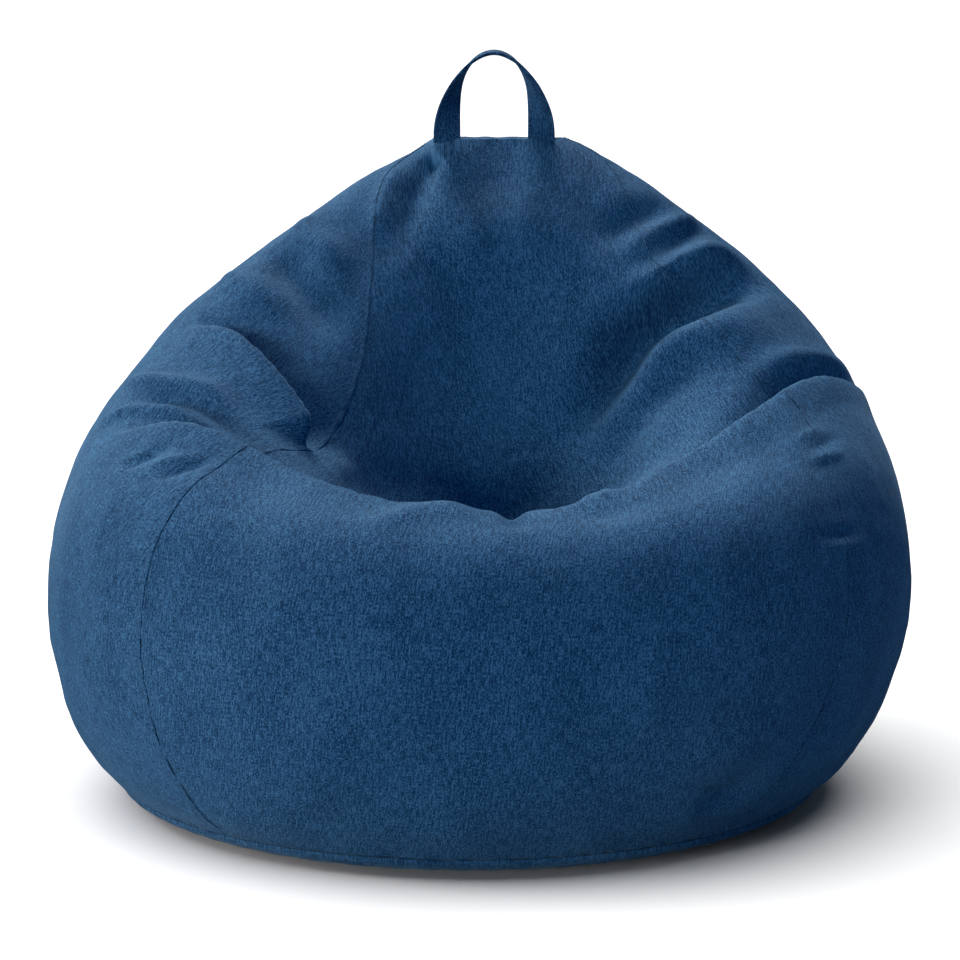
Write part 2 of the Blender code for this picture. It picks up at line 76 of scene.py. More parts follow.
# The cover's outside, as the CAD has it
TOP_HEIGHT = 0.756
BASE_SEAM_RADIUS = 0.415
BASE_SEAM_HEIGHT = 0.028
FLAT_RADIUS = 0.315
TOP_STATION = 12
MIDDLE_X = (-0.010, -0.009, -0.006, 0, 0.003, 0.008, 0.014, 0.018, 0.023, 0.025, 0.027, 0.029, 0.026)
MIDDLE_Y = (0, 0, 0, 0, 0, 0.005, 0.030, 0.060, 0.095, 0.130, 0.170, 0.205, 0.225)
OUTLINES = {
    0: (
        (0.448, 0.068), (0.482, 0.135), (0.500, 0.225), (0.487, 0.310), (0.415, 0.378), (0.290, 0.352),
        (0.174, 0.322), (0.112, 0.392), (0.085, 0.525), (0.064, 0.636), (0.045, 0.715), (0.030, TOP_HEIGHT),
    ),
    30: (
        (0.450, 0.066), (0.488, 0.135), (0.506, 0.230), (0.493, 0.320), (0.432, 0.392), (0.322, 0.398),
        (0.214, 0.366), (0.147, 0.428), (0.103, 0.542), (0.075, 0.645), (0.052, 0.718), (0.036, TOP_HEIGHT),
    ),
    60: (
        (0.448, 0.062), (0.486, 0.132), (0.505, 0.235), (0.496, 0.335), (0.455, 0.420), (0.385, 0.464),
        (0.300, 0.490), (0.218, 0.540), (0.160, 0.605), (0.118, 0.672), (0.083, 0.727), (0.057, TOP_HEIGHT),
    ),
    90: (
        (0.446, 0.058), (0.482, 0.132), (0.500, 0.235), (0.490, 0.350), (0.460, 0.430), (0.421, 0.490),
        (0.366, 0.552), (0.298, 0.612), (0.236, 0.658), (0.176, 0.702), (0.116, 0.736), (0.080, TOP_HEIGHT),
    ),
    135: (
        (0.436, 0.085), (0.482, 0.155), (0.504, 0.250), (0.490, 0.350), (0.460, 0.435), (0.410, 0.510),
        (0.345, 0.572), (0.280, 0.625), (0.210, 0.670), (0.142, 0.710), (0.086, 0.742), (0.048, TOP_HEIGHT),
    ),
    180: (
        (0.436, 0.085), (0.482, 0.155), (0.504, 0.250), (0.489, 0.350), (0.446, 0.435), (0.392, 0.510),
        (0.332, 0.572), (0.268, 0.625), (0.202, 0.670), (0.134, 0.710), (0.072, 0.742), (0.030, TOP_HEIGHT),
    ),
}
FRONT_LEFT_SEAM = (-39, -41, -43, -45, -45, -45, -45, -46, -52, -63, -75, -87, -90)
FRONT_RIGHT_SEAM = (41, 44, 47, 50, 52, 56, 62, 66, 68, 70, 76, 86, 90)
BACK_RIGHT_SEAM = (130, 130, 128, 126, 124, 122, 120, 118, 116, 114, 112, 112, 112)
BACK_LEFT_SEAM = tuple(360 - azimuth for azimuth in BACK_RIGHT_SEAM)
LEFT_REAR_SEAM = tuple(-azimuth for azimuth in BACK_RIGHT_SEAM)

# Nets: cloth thicknesses, how far the liner and beads lie inside the cover at the base seam and above it,
# and the spacing of rows and columns
COVER_CLOTH = 0.0012
LINER_CLOTH = 0.0008
LINER_INSET = (0.012, 0.004)
BEADS_INSET = (0.023, 0.008)
INSET_STATION = 2
LINER_TOP_STATION = 11.7
BEADS_TOP_STATION = 11.4
FLOOR_COVER, FLOOR_LINER, FLOOR_BEADS = 0, 0.002, 0.0036
ROW_STEP = 0.05
EDGE_OFFSETS = (
    0, 0.0006, 0.0014, 0.0024, 0.0036, 0.005, 0.0061, 0.007, 0.0079, 0.0095, 0.012, 0.016, 0.021,
)
STITCH_COLUMN = 7  # the net's column under the stitches
STITCH_OFFSET = 0.007
ALLOWANCE = 0.0068  # the width of the cloth folded under beside a stitched seam
PUCKER_PITCH = 0.031
ZIP_STATION = 0.5

# Folds in the cover. Each is (shape, height, width, fades, line): a ridge stands out and a valley goes in
# by its height, with that half width; a step stands out on the left of its line and goes in on the right,
# seen from outside. The line's points are (azimuth, station), and the fades are shares of its length.
RIGHT_BACK_FOLDS = (
    ("valley", 0.012, 0.020, (0.4, 0.4), ((56, 9.35), (68, 9.6), (79, 9.6), (92, 9.45))),
    ("ridge", 0.008, 0.014, (0.4, 0.3), ((60, 9.15), (74, 9.25), (84, 9.2), (97, 8.95))),
    ("valley", 0.008, 0.014, (0.4, 0.4), ((70, 8.9), (84, 8.95), (97, 8.7))),
    ("ridge", 0.018, 0.018, (0.4, 0.3),
     ((46, 8.65), (60, 8.62), (68, 8.62), (76, 8.58), (84, 8.45), (94, 8.0))),
    ("valley", 0.058, 0.028, (0.4, 0.4),
     ((24, 7.55), (34, 7.9), (45, 8.15), (54, 8.3), (62, 8.3), (70, 8.2), (78, 8.05), (87, 7.8),
      (97, 7.5))),
    ("ridge", 0.016, 0.042, (0.4, 0.4), ((52, 7.75), (62, 7.7), (72, 7.5), (82, 7.25))),
    ("valley", 0.016, 0.030, (0.3, 0.4), ((72, 7.4), (60, 7.5), (48, 7.5), (40, 7.35), (30, 7.0))),
)
RIGHT_ARM_FOLDS = (
    ("ridge", 0.009, 0.016, (0.4, 0.4),
     ((95, 5.85), (89, 6.1), (81, 6.5), (74, 6.75), (68, 6.85), (61, 6.9))),
    ("valley", 0.012, 0.020, (0.4, 0.3),
     ((93, 5.75), (84, 6.1), (74, 6.42), (64, 6.5), (54, 6.4), (42, 6.3))),
    ("ridge", 0.004, 0.006, (0.5, 0.5), ((53, 5.6), (64, 5.62))),
    ("valley", 0.005, 0.006, (0.5, 0.5), ((53, 5.42), (66, 5.4))),
    ("ridge", 0.005, 0.006, (0.5, 0.5), ((50, 5.25), (64, 5.15))),
    ("valley", 0.004, 0.006, (0.5, 0.5), ((46, 4.35), (58, 4.2))),
    ("ridge", 0.003, 0.006, (0.5, 0.5), ((46, 4.2), (58, 4.05))),
)
LEFT_BACK_FOLDS = (
    ("valley", 0.018, 0.024, (0.3, 0.4), ((-92, 8.5), (-77, 8.35), (-67, 8.2), (-57, 7.9))),
    ("ridge", 0.012, 0.022, (0.3, 0.4), ((-94, 7.7), (-87, 7.75), (-78, 7.85), (-68, 7.8))),
    ("ridge", 0.010, 0.020, (0.3, 0.4), ((-96, 9.1), (-86, 9.0), (-74, 8.9), (-66, 8.7))),
    ("valley", 0.014, 0.016, (0.2, 0.5), ((-66, 11.3), (-68, 10.9), (-64, 10.35), (-59, 9.7), (-55, 9.2))),
    ("ridge", 0.007, 0.014, (0.3, 0.4), ((-80, 10.9), (-76, 10.3), (-70, 9.7), (-66, 9.3))),
)
LEFT_ARM_FOLDS = (
    ("step", 0.022, 0.034, (0.2, 0.35),
     ((-45, 6.6), (-49, 6.8), (-53, 6.9), (-58, 7.0), (-65, 7.1), (-72, 7.15), (-80, 7.1), (-87, 6.95))),
    ("ridge", 0.009, 0.012, (0.3, 0.3),
     ((-90, 5.7), (-83, 5.95), (-76, 6.2), (-68, 6.4), (-62, 6.45), (-54, 6.35))),
    ("valley", 0.013, 0.013, (0.3, 0.3),
     ((-80, 5.7), (-72, 6.0), (-66, 6.2), (-60, 6.25), (-52, 6.15), (-45, 6.0))),
    ("ridge", 0.009, 0.010, (0.3, 0.3),
     ((-82, 5.1), (-76, 5.4), (-71, 5.7), (-64, 5.92), (-57, 5.95), (-50, 5.9))),
    ("valley", 0.006, 0.008, (0.4, 0.4), ((-52, 4.9), (-49, 5.25), (-47, 5.6))),
    ("valley", 0.006, 0.008, (0.4, 0.4), ((-60, 4.85), (-57, 5.2), (-54, 5.5))),
    ("ridge", 0.004, 0.007, (0.4, 0.4), ((-55, 4.9), (-53, 5.2), (-50, 5.5))),
)
SEAT_FOLDS = (
    ("ridge", 0.026, 0.060, (0.35, 0.35),
     ((-52, 9.5), (-38, 9.75), (-15, 9.95), (15, 10.0), (40, 10.0), (60, 10.0))),
    ("ridge", 0.007, 0.018, (0.4, 0.4), ((-36, 6.3), (-40, 6.7), (-42, 7.1))),
    ("valley", 0.022, 0.080, (0.25, 0.35), ((-46, 6.35), (-24, 6.5), (0, 6.6), (20, 6.6), (42, 6.5))),
    ("valley", 0.010, 0.050, (0.3, 0.3), ((-50, 6.2), (-34, 6.2), (-15, 6.2), (15, 6.2), (40, 6.3))),
    ("ridge", 0.020, 0.055, (0.2, 0.6), ((2, 7.5), (2, 8.0), (2, 8.5), (2, 9.0), (2, 9.5))),
)
# The top edge of the roll in front of the seat, from the right arm to the left one
ROLL_EDGE = (
    (98, 5.2), (89, 5.65), (80, 6.0), (72, 6.25), (65, 6.3), (58, 6.25), (51, 6.15), (43, 6.0), (34, 5.85),
    (26, 5.65), (18, 5.5), (9, 5.4), (0, 5.35), (-10, 5.38), (-20, 5.45), (-30, 5.55), (-38, 5.68),
    (-46, 5.78), (-52, 5.78), (-58, 5.7), (-64, 5.55), (-72, 5.2),
)
ROLL_FOLDS = (
    ("step", 0.0145, 0.028, (0.15, 0.12), ROLL_EDGE),
    ("ridge", 0.008, 0.018, (0.4, 0.3), ((-18, 4.9), (-13, 5.1), (-7, 5.25), (0, 5.2))),
    ("valley", 0.010, 0.013, (0.3, 0.5), ((3, 5.6), (4, 5.25), (6, 4.9))),
    ("ridge", 0.008, 0.016, (0.4, 0.4), ((14, 5.3), (19, 5.45), (25, 5.6))),
    ("valley", 0.008, 0.022, (0.4, 0.4), ((31, 1.2), (36, 1.35), (42, 1.6))),
    ("ridge", 0.006, 0.030, (0.4, 0.4), ((26, 1.9), (36, 2.2), (46, 2.6))),
)
REAR_FOLDS = (
    ("valley", 0.014, 0.024, (0.3, 0.5), ((104, 8.9), (122, 8.2), (140, 8.0))),
    ("ridge", 0.008, 0.020, (0.3, 0.5), ((106, 8.1), (122, 7.5), (138, 7.4))),
    ("valley", 0.012, 0.022, (0.3, 0.5), ((-104, 8.2), (-120, 7.6), (-138, 7.5))),
    ("valley", 0.010, 0.020, (0.4, 0.5), ((108, 5.6), (124, 5.0), (142, 5.1))),
    ("valley", 0.010, 0.022, (0.4, 0.5), ((-100, 5.0), (-118, 4.7), (-136, 5.0))),
    ("ridge", 0.007, 0.022, (0.4, 0.4), ((150, 6.4), (172, 6.0), (196, 6.2), (214, 6.7))),
    ("valley", 0.009, 0.024, (0.4, 0.4), ((152, 7.3), (174, 6.9), (198, 7.1), (212, 7.6))),
    ("valley", 0.008, 0.016, (0.2, 0.5), ((165, 11.2), (160, 10.2), (152, 9.2))),
    ("valley", 0.008, 0.016, (0.2, 0.5), ((196, 11.3), (202, 10.2), (212, 9.0))),
    ("valley", 0.006, 0.020, (0.4, 0.4), ((150, 1.6), (170, 1.9), (190, 1.7))),
)
FOLDS = (
    RIGHT_BACK_FOLDS + RIGHT_ARM_FOLDS + LEFT_BACK_FOLDS + LEFT_ARM_FOLDS
    + SEAT_FOLDS + ROLL_FOLDS + REAR_FOLDS
)
OVERHANG = 0.6  # how far a step hangs over, as a share of its height
STEP_SHARPNESS = 0.003

# Strap; its foot is the middle of its two ends, and it twists so that its crown lies flat
STRAP_WIDTH = 0.033
STRAP_THICKNESS = 0.004
STRAP_SPAN = 0.115
STRAP_RISE = 0.100
STRAP_FOOT = (0.019, 0.199, TOP_HEIGHT + 0.0035)
STRAP_TWIST = 1.35
STRAP_TILT = 0.09
STRAP_ROOT_DEPTHS = (0.009, 0.006, 0.003)
STRAP_STITCH_LINE = 0.66

# Zips; both follow the rear base seam, as far as the half angle on each side of the back's middle
ZIP_HEIGHT = 0.043
ZIP_HALF_ANGLE = 47.0
COVER_ZIP_RADIUS = 0.4191
LINER_ZIP_RADIUS = 0.4071
TEETH_GAP = 0.0009
TEETH_WIDTH = 0.0028
TEETH_PITCH = 0.0016
TEETH_OVERLAP = 0.0005
TEETH_LEAN = 0.0006
TAPE_GAP = 0.0012
TAPE_ENDS = (130.2, 229.8)
COVER_TAPE_HEIGHTS = (0.0275, 0.0600)
LINER_TAPE_HEIGHTS = (0.0335, 0.0555)

# Stitches, as (pitch, length, radius), their thread, and the care label
SEAM_STITCH = (0.0042, 0.0031, 0.00042)
STRAP_STITCH = (0.0036, 0.0027, 0.0005)
SEAM_THREAD = ("Seam thread", (0.010, 0.040, 0.105), (0.026, 0.082, 0.180))
STRAP_THREAD = ("Strap thread", (0.008, 0.030, 0.085), (0.020, 0.064, 0.140))
LABEL_WIDTH = 0.025
LABEL_LENGTH = 0.045
LABEL_STATION = 2.2
LABEL_REACH = 0.49  # how far the cover is from its middle there
LABEL_STATION_HEIGHT = 0.095  # metres from one station to the next there


# ---- the cover's smooth surface


def through(at, knots, values):
    """Values at the given places on a smooth curve through the knots."""
    at = np.asarray(at, float)
    knots = np.asarray(knots, float)
    values = np.asarray(values, float)
    tail = (1,) * (values.ndim - 1)
    slopes = np.gradient(values, axis=0) / np.gradient(knots).reshape((-1,) + tail)
    low = np.clip(np.searchsorted(knots, at, side="right") - 1, 0, len(knots) - 2)
    width = (knots[low + 1] - knots[low]).reshape(at.shape + tail)
    t = (at - knots[low]).reshape(at.shape + tail) / width
    return hermite(t, values[low], values[low + 1], width * slopes[low], width * slopes[low + 1])


def hermite(t, start, end, start_slope, end_slope):
    """The cubic curve from start to end with a given slope at each."""
    rise = 3 * t**2 - 2 * t**3
    return (1 - rise) * start + rise * end + (t**3 - 2 * t**2 + t) * start_slope + (t**3 - t**2) * end_slope


def outline_table():
    """Every outline with its mirror image, by azimuth from -225 to 225 so that the ends overlap."""
    table = {}
    for azimuth, outline in OUTLINES.items():
        full = ((BASE_SEAM_RADIUS, BASE_SEAM_HEIGHT),) + outline
        for turned in {azimuth, -azimuth, 360 - azimuth, azimuth - 360}:
            if abs(turned) <= 225:
                table[turned] = full
    azimuths = sorted(table)
    return azimuths, np.array([table[azimuth] for azimuth in azimuths])


AZIMUTHS, OUTLINE_TABLE = outline_table()
STATIONS = np.arange(TOP_STATION + 1)


def surface(azimuth, station):
    """The cover's smooth outside at an azimuth and a station, given as arrays of one shape."""
    azimuth, station = np.broadcast_arrays(np.asarray(azimuth, float), np.asarray(station, float))
    turned, level = ((azimuth + 180) % 360 - 180).ravel(), station.ravel()
    outlines = through(turned, AZIMUTHS, OUTLINE_TABLE)
    slopes = np.gradient(outlines, axis=1)
    low = np.clip(level.astype(int), 0, TOP_STATION - 1)
    each = np.arange(len(low))
    t = (level - low)[:, None]
    start, end = (each, low), (each, low + 1)
    place = hermite(t, outlines[start], outlines[end], slopes[start], slopes[end])
    reach, height = place.T.reshape((2,) + station.shape)
    x = through(station, STATIONS, MIDDLE_X) + reach * np.sin(np.radians(azimuth))
    y = through(station, STATIONS, MIDDLE_Y) - reach * np.cos(np.radians(azimuth))
    return np.stack([x, y, height], axis=-1)


def normal(azimuth, station):
    """The outward direction of the smooth surface."""
    turn, rise = 0.5, 0.02
    lower = np.clip(np.asarray(station, float) - rise, 0, TOP_STATION)
    upper = np.clip(np.asarray(station, float) + rise, 0, TOP_STATION)
    along = surface(azimuth + turn, station) - surface(azimuth - turn, station)
    up = surface(azimuth, upper) - surface(azimuth, lower)
    out = np.cross(along, up)
    return out / np.linalg.norm(out, axis=-1, keepdims=True)


# ---- folds and small unevenness


def smooth_random(points, size, seed):
    """A smooth random value from -1 to 1 at each point, that changes over about that size."""
    count = 32
    lattice = np.random.default_rng(seed).uniform(-1, 1, (count, count, count))
    place = points / size
    low = np.floor(place).astype(int)
    t = place - low
    t = t * t * (3 - 2 * t)
    total = np.zeros(points.shape[:-1])
    for corner in np.ndindex(2, 2, 2):
        weight = np.prod(np.where(corner, t, 1 - t), axis=-1)
        index = (low + corner) % count
        total += weight * lattice[index[..., 0], index[..., 1], index[..., 2]]
    return total


def fold_line(line):
    """Points close together on the smooth surface along a fold."""
    azimuth, station = np.array(line, float).T
    at = np.linspace(0, len(line) - 1, 6 * len(line))
    knots = np.arange(len(line))
    return surface(through(at, knots, azimuth), through(at, knots, station))


def fade(share, fades):
    """1 along a fold, and down to 0 at the ends that fade."""
    rise = np.ones_like(share)
    for length, place in zip(fades, (share, 1 - share)):
        if length:
            t = np.clip(place / length, 0, 1)
            rise *= t * t * (3 - 2 * t)
    return rise


def fold_shift(points, normals, fold, under=False):
    """How far one fold moves each point. Under the cover, a step is only the hollow that it leaves."""
    shape, height, width, fades, line = fold
    path = fold_line(line)
    starts, spans = path[:-1], path[1:] - path[:-1]
    shift = np.zeros_like(points)
    reach = 3 * width
    near = ((points > path.min(0) - reach) & (points < path.max(0) + reach)).all(axis=1)
    if not near.any():
        return shift
    offset = points[near, None] - starts
    t = np.clip((offset * spans).sum(-1) / (spans**2).sum(-1), 0, 1)
    offset -= t[..., None] * spans
    distance = np.linalg.norm(offset, axis=-1)
    best = distance.argmin(axis=1)
    each = np.arange(len(best))
    distance, offset, span = distance[each, best], offset[each, best], spans[best]
    size = height * fade((best + t[each, best]) / len(spans), fades)
    out = normals[near]
    if shape == "step" and not under:
        across = np.cross(out, span)
        across /= np.linalg.norm(across, axis=1, keepdims=True)
        side = (offset * across).sum(1)
        profile = np.tanh(side / STEP_SHARPNESS) * np.exp(-((side / width) ** 2))
        hang = bell(side, width / 4, width / 2)
        past_end = np.exp(-((distance**2 - side**2).clip(0) / width**2))
        move = out * profile[:, None] - across * (OVERHANG * hang)[:, None]
        shift[near] = move * (size * past_end)[:, None]
    else:
        sign = 1 if shape == "ridge" else -1
        shift[near] = out * (sign * size * np.exp(-((distance / width) ** 2)))[:, None]
    return shift


def skin(azimuth, station, under=False):
    """The cover's smooth surface, its normals, and the surface with its folds, or what lies under them."""
    smooth, out = surface(azimuth, station), normal(azimuth, station)
    points, normals = smooth.reshape(-1, 3), out.reshape(-1, 3)
    shift = np.zeros_like(points)
    for fold in FOLDS:
        shift += fold_shift(points, normals, fold, under)
    uneven = (
        0.0035 * smooth_random(points, 0.13, 1)
        + 0.0014 * smooth_random(points, 0.05, 2)
        + 0.0005 * smooth_random(points, 0.018, 3)
    )
    shift += normals * uneven[:, None]
    level = np.broadcast_to(np.asarray(station, float), smooth.shape[:-1]).reshape(-1, 1)
    held = np.clip(level / 0.8, 0, 1) * np.clip((TOP_STATION - level) / 0.8, 0, 1)
    return smooth, out, smooth + (shift * held**2 * (3 - 2 * held)).reshape(smooth.shape)


# ---- nets


def panel_rows(low, high):
    """Stations of a panel's rows, closer together at its two ends."""
    ends = np.array([0, 0.01, 0.02, 0.035, 0.055, 0.08, 0.11, 0.15])
    inner = np.arange(low + 0.2, high - 0.2 + ROW_STEP / 2, ROW_STEP)
    return np.concatenate([low + ends, inner, high - ends[::-1]])


def spaced_azimuths(first, second, row, columns):
    """Azimuths across one row: at the edge offsets from both seams, and evenly spaced between."""
    start, end = (float(through([row], STATIONS, azimuths)[0]) for azimuths in (first, second))
    fine = np.linspace(start, end, 120)
    steps = np.linalg.norm(np.diff(surface(fine, row), axis=0), axis=1)
    along = np.concatenate([[0], np.cumsum(steps)])
    width = along[-1]
    edge = np.array(EDGE_OFFSETS) * min(1, width / 0.09)
    inner = np.linspace(edge[-1], width - edge[-1], columns)[1:-1]
    at = np.concatenate([edge, inner, width - edge[::-1]])
    gap = 0.0001
    return np.interp(at.clip(gap, width - gap), along, fine)


def run_along(points, axis):
    """How far each point of a net is from its first row or column, along the net."""
    steps = np.linalg.norm(np.diff(points, axis=axis), axis=-1)
    start = np.zeros_like(np.take(steps, [0], axis=axis))
    return np.concatenate([start, np.cumsum(steps, axis=axis)], axis=axis)


def bell(distance, middle, width):
    """1 at the middle and close to 0 two widths away."""
    return np.exp(-(((distance - middle) / width) ** 2))


def sewn_edge(distance, along, seed, stitched):
    """How far the cloth stands out near a seam: its groove, its puckers and a stitched-down allowance."""
    pucker = np.sin(2 * math.pi * along / PUCKER_PITCH + 2.5 * np.sin(along * 23 + seed))
    pucker = pucker * np.exp(-distance / 0.016)
    height = -0.0004 * bell(distance, 0, 0.0010) + 0.0007 * pucker * (1 + np.sin(along * 9 + 2 * seed)) / 2
    if stitched:
        height += 0.0007 / (1 + np.exp((distance - ALLOWANCE) / 0.0006))
        height -= 0.0004 * bell(distance, STITCH_OFFSET, 0.0009)
    return height


def cloth_net(first, second, rows, columns, stitched):
    """A panel's net: its smooth points, its normals, its final points and its flat cloth coordinates."""
    azimuth = np.array([spaced_azimuths(first, second, row, columns) for row in rows])
    station = np.broadcast_to(rows[:, None], azimuth.shape)
    smooth, out, folded = skin(azimuth, station)
    across, up = run_along(smooth, 1), run_along(smooth, 0)
    from_edges = (across, across[:, -1:] - across, up, up[-1:] - up)
    runs = (up, up, across, across)
    height = np.zeros(azimuth.shape)
    for seed, (distance, run) in enumerate(zip(from_edges, runs)):
        height += sewn_edge(distance, run, seed, stitched[seed])
    middle = across[:, [across.shape[1] // 2]]
    flat = np.stack([across - middle, up, np.zeros_like(up)], axis=-1)
    points = folded + out * height[..., None]
    return {"smooth": smooth, "out": out, "points": points, "flat": flat, "up": up}


def quads(rows, columns, start=0, wrapped=False, flipped=False):
    """Faces over a net of points stored row by row; wrapped joins the last column to the first."""
    index = start + np.arange(rows * columns).reshape(rows, columns)
    if wrapped:
        index = np.concatenate([index, index[:, :1]], axis=1)
    corners = (index[:-1, :-1], index[:-1, 1:], index[1:, 1:], index[1:, :-1])
    faces = np.stack(corners, axis=-1).reshape(-1, 4)
    return (faces[:, ::-1] if flipped else faces).tolist()


def end_faces(first, rows, around):
    """The two faces that close a tube, whose rows of points start at index first."""
    last = first + (rows - 1) * around
    return [list(range(first, first + around))[::-1], list(range(last, last + around))]


def rim_of(rows, columns):
    """The indices round a net's edge, in order."""
    index = np.arange(rows * columns).reshape(rows, columns)
    return np.concatenate([index[0, :-1], index[:-1, -1], index[-1, :0:-1], index[:0:-1, 0]])


def add_piece(name, points, faces, finish, flat=None):
    """A smooth-shaded object; flat holds its cloth coordinates in metres, for the weave."""
    mesh = bpy.data.meshes.new(name)
    mesh.from_pydata(np.asarray(points, float).reshape(-1, 3).tolist(), [], faces)
    if flat is not None:
        attribute = mesh.attributes.new("cloth", "FLOAT_VECTOR", "POINT")
        attribute.data.foreach_set("vector", np.asarray(flat, np.float32).ravel())
    mesh.materials.append(finish)
    mesh.shade_smooth()
    made = bpy.data.objects.new(name, mesh)
    bpy.context.scene.collection.objects.link(made)
    return made


def sheet_piece(name, outer, inner, flat, finish):
    """A cloth panel with real thickness: two nets and the rim between them."""
    rows, columns = outer.shape[:2]
    count = rows * columns
    faces = quads(rows, columns) + quads(rows, columns, count, flipped=True)
    rim = rim_of(rows, columns)
    after = np.roll(rim, -1)
    faces += np.stack([after, rim, rim + count, after + count], axis=-1).tolist()
    points = np.concatenate([outer.reshape(-1, 3), inner.reshape(-1, 3)])
    flats = np.concatenate([flat.reshape(-1, 3), flat.reshape(-1, 3)])
    return add_piece(name, points, faces, finish, flats)


def stand_for(piece, node):
    """A piece that rides on the bag in place of a CAD node."""
    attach(piece, "bag")
    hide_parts(node)


def declare_panel(piece, node):
    """Puts a panel on the bag in place of its CAD node."""
    stand_for(piece, node)


# Each panel's two seams, its lowest station, its columns, and whether its first, second, lower and upper
# edges are stitched down
PANELS = {
    "front_panel": (FRONT_LEFT_SEAM, FRONT_RIGHT_SEAM, 0, 150, (False, False, False, False)),
    "right_side_panel": (FRONT_RIGHT_SEAM, BACK_RIGHT_SEAM, 0, 120, (True, True, False, False)),
    "back_panel": (BACK_RIGHT_SEAM, BACK_LEFT_SEAM, ZIP_STATION, 130, (False, False, True, False)),
    "left_side_panel": (LEFT_REAR_SEAM, FRONT_LEFT_SEAM, 0, 120, (True, True, False, False)),
}


def cover_panels():
    """The four upright panels of the cover; returns their nets, which the stitches follow."""
    nets = {}
    for name, (first, second, low, columns, stitched) in PANELS.items():
        net = cloth_net(first, second, panel_rows(low, TOP_STATION), columns, stitched)
        if low:
            net["points"] -= net["out"] * (0.0045 * bell(net["up"], 0, 0.006))[..., None]
        inner = net["points"] - net["out"] * COVER_CLOTH
        piece = sheet_piece("cover_" + name, net["points"], inner, net["flat"], cloth("cover"))
        declare_panel(piece, name)
        nets[name] = net
    return nets


def inset_points(azimuth, station, insets):
    """The folded surface moved inwards, by insets[0] at the base seam and insets[1] above it."""
    _, out, folded = skin(azimuth, station, under=True)
    share = np.clip(station / INSET_STATION, 0, 1)
    return folded - out * (insets[0] + (insets[1] - insets[0]) * share)[..., None]


def liner_panels():
    """The four upright panels of the liner, a little inside the cover."""
    for name, (first, second, low, columns, _) in PANELS.items():
        rows = panel_rows(low, LINER_TOP_STATION)[::2]
        azimuth = np.array([spaced_azimuths(first, second, row, columns // 2) for row in rows])
        station = np.broadcast_to(rows[:, None], azimuth.shape)
        outer = inset_points(azimuth, station, LINER_INSET)
        inner = inset_points(azimuth, station, [inset + LINER_CLOTH for inset in LINER_INSET])
        flat = np.stack([run_along(outer, 1), run_along(outer, 0), np.zeros(azimuth.shape)], axis=-1)
        piece = sheet_piece("inner_" + name, outer, inner, flat, liner_cloth())
        declare_panel(piece, "liner_" + name)


# ---- base, top and filling


def ring(station, insets, count):
    """(azimuths, points) once round the bag at one station."""
    azimuth = np.linspace(-180, 180, count, endpoint=False)
    return azimuth, inset_points(azimuth, np.full(count, float(station)), insets)


def drawn_in(points, gap):
    """A ring moved towards its own middle."""
    middle = points.mean(axis=0)
    reach = np.linalg.norm(points - middle, axis=1, keepdims=True)
    return middle + (points - middle) * (1 - gap / reach)


def dish(edge, floor, flat_rings, curved_rings):
    """Rings from the middle of a base's flat underside out and up to its edge."""
    middle = edge.mean(axis=0) * (1, 1, 0) + (0, 0, floor)
    spread = edge - middle
    radius = np.hypot(spread[:, 0], spread[:, 1])[:, None]
    rings = []
    for reach in np.linspace(0.004, FLAT_RADIUS, flat_rings, endpoint=False):
        row = middle + spread * reach / radius
        row[:, 2] = floor
        rings.append(row)
    for turn in np.linspace(0, math.pi / 2, curved_rings):
        row = middle + spread * (FLAT_RADIUS + (radius - FLAT_RADIUS) * math.sin(turn)) / radius
        row[:, 2] = floor + (edge[:, 2] - floor) * (1 - math.cos(turn))
        rings.append(row)
    return np.array(rings)


def round_piece(name, rings, thickness, finish, hollow_up):
    """A round cloth panel from rings, innermost first; its second skin lies above or below."""
    count, around = rings.shape[:2]
    second = rings + (0, 0, thickness if hollow_up else -thickness)
    if hollow_up:
        second[-1] = drawn_in(rings[-1], thickness)
    size = count * around
    faces = quads(count, around, wrapped=True, flipped=hollow_up)
    faces += quads(count, around, size, wrapped=True, flipped=not hollow_up)
    edge = np.arange(around) + (count - 1) * around
    after = np.roll(edge, -1)
    rim = np.stack([edge, after, after + size, edge + size], axis=-1)
    faces += (rim if hollow_up else rim[:, ::-1]).tolist()
    inner = list(range(around))
    cap = inner if hollow_up else inner[::-1]
    faces += [cap, [corner + size for corner in cap[::-1]]]
    points = np.concatenate([rings.reshape(-1, 3), second.reshape(-1, 3)])
    return add_piece(name, points, faces, finish, points * (1, 1, 0))


def base_piece(name, node, insets, floor, thickness, finish, slot, zip_reach):
    """A base panel; its rim is eased outwards along the zip, to meet the zip's tape."""
    azimuth, edge = ring(0, insets, 480)
    edge = drawn_in(edge - (0, 0, 0.0004), 0.0004)
    behind = np.abs((azimuth % 360) - 180)
    eased = np.clip((ZIP_HALF_ANGLE + 3 - behind) / 3, 0, 1)
    middle = edge.mean(axis=0)
    outwards = (edge - middle) / np.linalg.norm(edge - middle, axis=1, keepdims=True)
    edge += outwards * (zip_reach * eased)[:, None]
    rings = dish(edge, floor, 24, 26)
    fan = np.radians(np.broadcast_to(azimuth, rings.shape[:2]))
    rise = (rings[..., 2] - floor) / edge[:, 2].max()
    rings[..., 2] += 0.0012 * np.sin(fan * 61 + 2 * np.sin(fan * 7)) * rise * (1 - rise)
    piece = round_piece(name, rings, thickness, finish, hollow_up=True)
    # The cloth is longer than its radius, because its edge turns up
    stand_for(piece, node)


